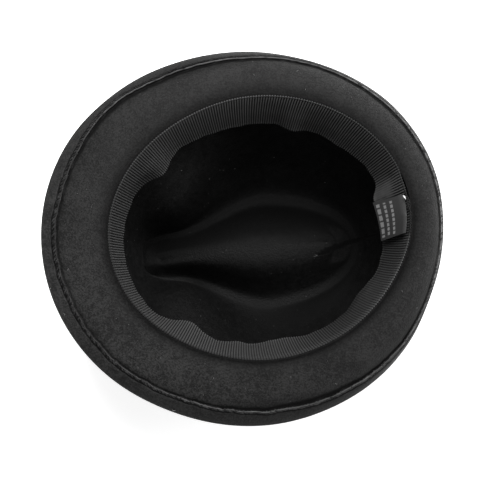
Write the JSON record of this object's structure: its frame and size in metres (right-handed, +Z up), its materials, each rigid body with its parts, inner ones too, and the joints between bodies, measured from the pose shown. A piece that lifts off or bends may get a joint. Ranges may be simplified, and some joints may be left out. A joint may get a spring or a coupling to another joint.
{
  "type": "fedora hat",
  "caption": "Soft felt fedora lying on its crown: teardrop dent, pinched front, curled narrow brim with a stitched folded edge, ribbed sweatband and ribbon.",
  "frame": {"origin": "on the floor under the middle of the brim's outline, where the crown's ridge rests", "axes": "+Z up out of the head opening, +X towards the hat's back, +Y towards the wearer's left"},
  "size_m": [0.262, 0.2482, 0.1076],
  "materials": {
    "felt": "matt brushed felt, black",
    "brim_felt": "matt brushed felt, black",
    "sweatband_ribbon": "ribbed grosgrain ribbon, black, slight sheen",
    "label_cloth": "smooth woven satin label, black",
    "hat_band_ribbon": "ribbed grosgrain ribbon, black"
  },
  "bodies": {
    "root": {"crown": "felt", "brim": "brim_felt", "sweatband": "sweatband_ribbon", "label": "label_cloth", "hat_band": "hat_band_ribbon"}
  },
  "joints": []
}
